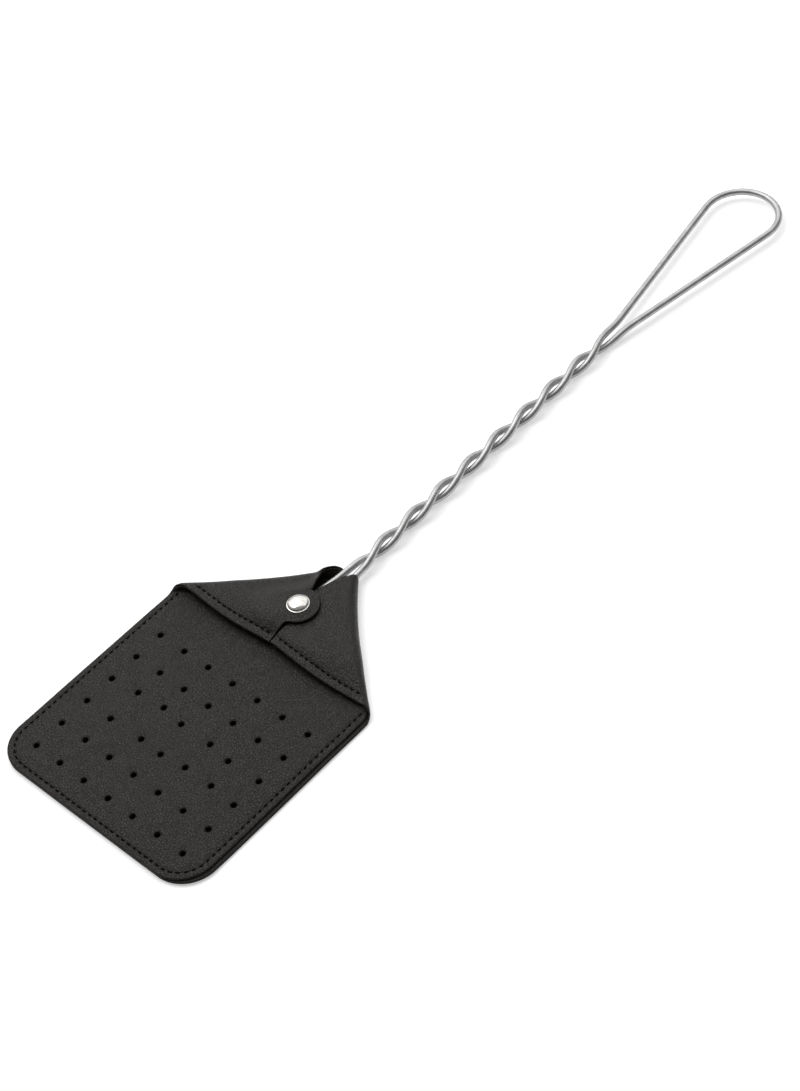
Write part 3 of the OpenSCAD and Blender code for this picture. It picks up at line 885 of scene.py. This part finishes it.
# ---------------------------------------------------------------- panels


def panel(name, replaced, setback, front):
    s = panel_sheet(setback)
    p = s.p
    base = panel_shape(p) + corner_curl(p)
    if front:
        worn = 0.10 * (1 - smooth(s.sd / 3.2))
        top = PANEL_T + base - groove(p, SEAM_LINE, GROOVE) - vent_dimple(p) - worn
        bottom = PLY + PLY_GAP + base
    else:
        top = PLY - PLY_GAP + base
        bottom = base + groove(p, SEAM_LINE, 0.4) + 0.6 * vent_dimple(p)
    verts, faces, slots = s.surfaces(top, bottom)
    verts, faces = drop_loose(verts, faces)
    o = new_mesh(name, verts, faces, slots, verts[:, :2] * UV_SCALE)
    dress(o, LEATHER if front else LINING, EDGE)
    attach(o, "head_and_handle")
    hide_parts(replaced)


panel("front_panel_leather", "front_panel", SETBACK, True)
panel("back_panel_leather", "back_panel", 0.0, False)

# ---------------------------------------------------------------- folds and flaps

SIDES = ((1, "right"), (-1, "left"))
for side, word in SIDES:
    for outer, ply in ((True, "outer"), (False, "inner")):
        o = wing(f"{word}_flap_{ply}_leather", side, outer)
        dress(o, FLAP_LEATHER if outer else LINING, EDGE)
        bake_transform(o)
        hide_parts(f"{word}_flap_{ply}", f"{word}_fold_{ply}")

# ---------------------------------------------------------------- stitches


STITCH_L, THREAD_R = 2.05, 0.35       # length that shows, and thickness
STITCH_TURN = 7                       # degrees by which each stitch lies across its seam
STITCH_IN = 0.42                      # how deep a stitch's middle line starts below the face
STEPS, RING = 11, 8                   # rings along a stitch, and corners of a ring


def stitch_mesh(places, name, body, replaced):
    """Each stitch is a short two-strand thread that dives into the leather at both ends.

    places holds x, y, z, heading in degrees, slope, and 1 for a stitch on an upper face or -1 for one below.
    """
    verts, faces = [], []
    for x, y, z, heading, slope, up in places:
        h = math.radians(heading + rng.uniform(-2, 2) + STITCH_TURN)
        length = STITCH_L + rng.uniform(-0.1, 0.1)
        d = np.array([math.cos(h), math.sin(h), slope])
        d /= np.linalg.norm(d)
        side = np.cross([0, 0, 1.0], d)
        side /= np.linalg.norm(side)
        top = np.cross(d, side)
        start = len(verts)
        for k in range(STEPS):
            t = -1 + 2 * k / (STEPS - 1)
            lift = (0.34 * (1 - abs(t) ** 4) - 0.50 * abs(t) ** 4) * up
            centre = np.array([x, y, z]) + d * (t * length / 2) + top * lift
            rad = THREAD_R * (1 - 0.25 * abs(t) ** 6)
            for j in range(RING):
                a = 2 * math.pi * j / RING
                twist = 1 + 0.17 * math.cos(2 * a + t * length / 2 * 5.5)
                verts.append(centre + (side * math.cos(a) + top * math.sin(a)) * rad * twist)
        faces += tube_faces(start, STEPS, RING)
    o = new_mesh(name, verts, faces)
    dress(o, THREAD)
    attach(o, body)
    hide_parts(replaced)


def panel_places(front):
    """Places of the panel's stitches, on its front or its back."""
    n = int(SEAM_L // PITCH)
    out = []
    for i in range(n):
        x, y, h = seam_at((i + 0.5) * SEAM_L / n)
        p = np.array([[x, y]])
        base = float(panel_shape(p)[0] + corner_curl(p)[0])
        out.append((x, y, (PANEL_T - STITCH_IN if front else 0.52) + base, h, 0.0, 1 if front else -1))
    return out


def flap_places(side, upper):
    """Places of a flap's stitches, on its upper or its under face."""
    line = resample(FLAP_SEAM[side], PITCH)
    mid = (line[1:] + line[:-1]) / 2
    m = len(mid)
    z_all = flap_shift(np.concatenate([mid, line[:-1], line[1:]]), side)
    level = TOP - STITCH_IN if upper else TOP - 2 * PLY + 0.30
    out = []
    for i in range(m):
        d = line[i + 1] - line[i]
        slope = float((z_all[2 * m + i] - z_all[m + i]) / float(np.linalg.norm(d)))
        heading = math.degrees(math.atan2(d[1], d[0]))
        out.append((mid[i, 0], mid[i, 1], level + float(z_all[i]), heading, slope, 1 if upper else -1))
    return out


# The needle's thread is on the upper faces, the bobbin's on the faces below
THREADS = (("needle", True), ("bobbin", False))
for thread, upper in THREADS:
    stitch_mesh(panel_places(upper), f"panel_{thread}_stitches", "head_and_handle", f"panel_{thread}_thread")
for side, word in SIDES:
    for thread, upper in THREADS:
        flap = f"{word}_flap"
        stitch_mesh(flap_places(side, upper), f"{flap}_{thread}_stitches", flap, f"{flap}_{thread}_thread")

# ---------------------------------------------------------------- wire


STRAND_R = 2.1                        # from the twist's middle line to a strand's
HALF_TURN, TURNS = 18.5, 9            # length and number of half turns
LEAD = 9.7                            # from the mouth to the first one
PER_TURN = 20                         # points of the path in a half turn
LOOP_R = wire_hi[0] - WIRE_D / 2      # round end of the loop
LOOP_Y = wire_hi[1] - WIRE_D / 2 - LOOP_R
TW0 = YM + LEAD
TW1 = TW0 + HALF_TURN * TURNS
CROSS_Y = TW1 - HALF_TURN / 2         # last crossing, where the legs part
LEG_A = math.asin(LOOP_R / (LOOP_Y - CROSS_Y))       # between a leg and the middle line
LEG_DY = LOOP_Y - LOOP_R * math.sin(LEG_A) - CROSS_Y
LEG_SLOPE = LOOP_R * math.cos(LEG_A) / LEG_DY
LEVEL_L = 1.67 * STRAND_R / LEG_SLOPE     # over which the legs come level with each other
SWAP = (-1) ** TURNS                  # the strands may have changed sides at the last crossing
ARM_A = np.array([9.0, YM - 38.0, AZ])    # free end of the right arm, hidden in the pocket
ARM_B = np.array([STRAND_R + 0.7, YM - 3.0, AZ])


def strand(side):
    """One strand from its hidden end through the twist to the round end of the loop."""
    pts = []
    for k in range(12):
        pts.append(ARM_A * [side, 1, 1] + (ARM_B - ARM_A) * [side, 1, 1] * (k / 12))
    for k in range(8):
        t = k / 8
        x = ARM_B[0] + (STRAND_R - ARM_B[0]) * smooth(t)
        pts.append(np.array([side * x, ARM_B[1] + (TW0 - ARM_B[1]) * t, AZ]))
    n = PER_TURN * TURNS
    for k in range(n - PER_TURN // 2 + 1):
        a = math.pi * TURNS * k / n
        y = TW0 + (TW1 - TW0) * k / n
        pts.append(np.array([side * STRAND_R * math.cos(a), y, AZ + side * STRAND_R * math.sin(a)]))
    for k in range(1, 61):
        d = LEG_DY * (k / 60) ** 1.3
        # the twist's own slope at the crossing gives way to the leg's
        ease = max(0.0, 1 - d / HALF_TURN) ** 2
        x = LEG_SLOPE * d + (STRAND_R * math.pi / HALF_TURN - LEG_SLOPE) * d * ease
        z = STRAND_R * math.sin(math.pi * (TURNS - 0.5)) * (1 - float(smooth(d / LEVEL_L)))
        pts.append(np.array([SWAP * side * x, CROSS_Y + d, AZ + side * z]))
    return pts


def wire_path():
    """The whole wire's middle line, from the right arm's end round the loop to the left arm's."""
    turn = [(math.pi + 2 * LEG_A) * k / 44 - LEG_A for k in range(1, 44)]
    end = [np.array([SWAP * LOOP_R * math.cos(a), LOOP_Y + LOOP_R * math.sin(a), AZ]) for a in turn]
    p = np.array(strand(1) + end + strand(-1)[::-1])
    for _ in range(3):     # eases the small kinks where the stretches join
        q = p.copy()
        q[1:-1] = 0.25 * p[:-2] + 0.5 * p[1:-1] + 0.25 * p[2:]
        p = q
    return p


def sweep(path, d, ring=20):
    """A round bar of diameter d along the path, with blunt ends. UV runs along it, and across it."""
    t = np.gradient(path, axis=0)
    t /= np.linalg.norm(t, axis=1, keepdims=True)
    n = np.array([0, 0, 1.0])
    verts, faces, uv = [], [], []
    length = 0.0
    for i, p in enumerate(path):
        n = n - t[i] * (n @ t[i])
        n /= np.linalg.norm(n)
        b = np.cross(t[i], n)
        if i:
            length += float(np.linalg.norm(p - path[i - 1]))
        for j in range(ring):
            a = 2 * math.pi * j / ring
            verts.append(p + d / 2 * (n * math.cos(a) + b * math.sin(a)))
            uv.append((length * UV_SCALE, 0.5 - 0.5 * math.cos(a)))
    for i in range(len(path) - 1):
        for j in range(ring):
            a, b2 = i * ring + j, i * ring + (j + 1) % ring
            faces.append((a, a + ring, b2 + ring, b2))
    for end, sign in ((0, -1), (len(path) - 1, 1)):
        centre = path[end] + t[end] * sign * d * 0.12
        verts.append(centre)
        uv.append((0, 0))
        c = len(verts) - 1
        for j in range(ring):
            a, b2 = end * ring + j, end * ring + (j + 1) % ring
            faces.append((a, b2, c) if sign < 0 else (b2, a, c))
    return np.array(verts), faces, uv


wire_v, wire_f, wire_uv = sweep(wire_path(), WIRE_D)
wire = new_mesh("wire_handle_steel", wire_v, wire_f, None, wire_uv)
wire.data.flip_normals()
dress(wire, STEEL)
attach(wire, "head_and_handle")
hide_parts("wire_handle")

# ---------------------------------------------------------------- snap


def lathe(name, profile, centre, seg=64):
    """The profile of radius and height turned about a vertical line."""
    verts = []
    for r, z in profile:
        for j in range(seg):
            a = 2 * math.pi * j / seg
            verts.append((centre[0] + r * math.cos(a), centre[1] + r * math.sin(a), z))
    return new_mesh(name, verts, tube_faces(0, len(profile), seg))


# A thin rim lies on the leather, and the dome stands on it with a steep wall; radii are parts of CAP_R
RIM = [(0.72, -0.25), (0.95, -0.12), (0.993, 0.0), (1.0, 0.11), (0.985, 0.22), (0.95, 0.27),
       (0.912, 0.28), (0.897, 0.34), (0.89, 0.47)]
DOME_R, DOME_Z = 0.945, 0.55          # foot of the dome
profile = [(CAP_R * r, CAP_Z + z) for r, z in RIM]
for k in range(1, 15):
    q = k / 14
    rise = (CAP_H - DOME_Z) * (1 - ((1 - q) * 0.985) ** 2.6)
    profile.append((max(CAP_R * (1 - q) * DOME_R, 0.02), CAP_Z + DOME_Z + rise))
cap = lathe("snap_cap_nickel", profile, TAB)
dress(cap, NICKEL)
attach(cap, "left_flap")
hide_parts("snap_cap")
for n in ("snap_socket", "snap_stud", "snap_post"):
    dress(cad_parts[n], NICKEL_IN)

# ---------------------------------------------------------------- floor, light and camera


def matt(name, roughness, specular):
    """A dull material for the stage."""
    m, nt, bsdf = material(name)
    bsdf.inputs["Roughness"].default_value = roughness
    bsdf.inputs["Specular IOR Level"].default_value = specular
    return m, nt, bsdf


def floor():
    """Pale paper just under the part."""
    bpy.ops.mesh.primitive_plane_add(size=6, location=(0, 0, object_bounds()[0][2] - 0.00005))
    o = bpy.context.object
    o.name = "floor"
    m, nt, bsdf = matt("floor_paper", 0.9, 0.0)
    tone = object_noise(nt, 6.0, 3.0)
    nt.links.new(ramp(nt, tone, [(0.3, grey(0.86)), (0.7, grey(0.88))]), bsdf.inputs["Base Color"])
    bsdf.inputs["Emission Color"].default_value = (1, 1, 1, 1)
    bsdf.inputs["Emission Strength"].default_value = 0.42
    o.data.materials.append(m)
    o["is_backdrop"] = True


def painted_vent_shade():
    """Painted shade: a matt black card hidden under the head, so that the vents look as dark as deep holes
    do.
    """
    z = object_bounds()[0][2] - 0.00003     # just above the floor
    x, y0, y1 = (HW - 10) * MM, (YB + 7) * MM, (YB + 93) * MM
    corners = np.array([[-x, y0, z], [x, y0, z], [x, y1, z], [-x, y1, z]]) / MM
    o = new_mesh("painted_vent_shade", corners, [(0, 1, 2, 3)])
    # its black is painted shade for the vents
    m, nt, bsdf = matt("painted_vent_shade_black", 0.9, 0.1)
    bsdf.inputs["Base Color"].default_value = (0.004, 0.004, 0.004, 1)
    o.data.materials.append(m)
    o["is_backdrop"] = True


floor()
# painted shade under the vents
painted_vent_shade()

scene = bpy.context.scene
scene.view_settings.view_transform = "Standard"
scene.view_settings.look = "None"
world = bpy.data.worlds.new("studio")
scene.world = world
world.use_nodes = True
# The studio is brightest towards the softbox and dim behind the camera, which draws dark lines on the metal
sky = world.node_tree
facing = node(sky, "ShaderNodeVectorMath", operation="DOT_PRODUCT")
facing.inputs[1].default_value = (-0.275, 0.225, 0.35)
sky.links.new(sky.nodes.new("ShaderNodeTexCoord").outputs["Generated"], facing.inputs[0])
shift = node(sky, "ShaderNodeMath", operation="ADD")
shift.inputs[1].default_value = 0.5
sky.links.new(facing.outputs["Value"], shift.inputs[0])
glow = ramp(sky, shift.outputs[0], [(0.0, grey(0.06)), (0.45, grey(0.09)), (0.75, grey(0.32)),
                                    (1.0, grey(0.5))])
sky.links.new(glow, sky.nodes["Background"].inputs[0])
sky.nodes["Background"].inputs[1].default_value = 1.0

# Camera: the place (in mm) and turn that fit the photograph, and the focal length in its pixels
CAM = np.array([519.007, -467.588, 746.891])
RIGHT = np.array([0.735414, 0.665479, -0.127688])
DOWN = np.array([0.441486, -0.613511, -0.654748])
AHEAD = np.array([-0.514059, 0.425138, -0.744984])
FOCAL, PHOTO_H = 2362.04, 1091
cam_data = bpy.data.cameras.new("camera")
cam = bpy.data.objects.new("camera", cam_data)
scene.collection.objects.link(cam)
cam_data.sensor_width = 36
cam_data.lens = FOCAL / PHOTO_H * cam_data.sensor_width
cam_data.clip_start, cam_data.clip_end = 0.01, 20
turn = Matrix([[RIGHT[i], -DOWN[i], -AHEAD[i]] for i in range(3)]).to_4x4()
cam.matrix_world = Matrix.Translation(Vector(CAM * MM)) @ turn
scene.camera = cam


def area(name, place, target, size, power):
    """A rectangular light that faces its target; sizes in metres and power in watts."""
    d = bpy.data.lights.new(name, "AREA")
    d.shape = "RECTANGLE"
    d.size, d.size_y = size
    d.energy = power
    o = bpy.data.objects.new(name, d)
    scene.collection.objects.link(o)
    o.location = place
    o.rotation_mode = "QUATERNION"
    o.rotation_quaternion = (Vector(target) - Vector(place)).to_track_quat("-Z", "Y")


head = Vector((0, -0.1, 0))
# A large softbox where the leather and the cap mirror it, and a key from the picture's upper left
area("softbox", Vector((-0.64, 0.43, 0.95)), head, (2.2, 1.8), 12.5)
area("key", Vector((-0.62, 0.02, 1.0)), head, (0.9, 0.9), 4.6)
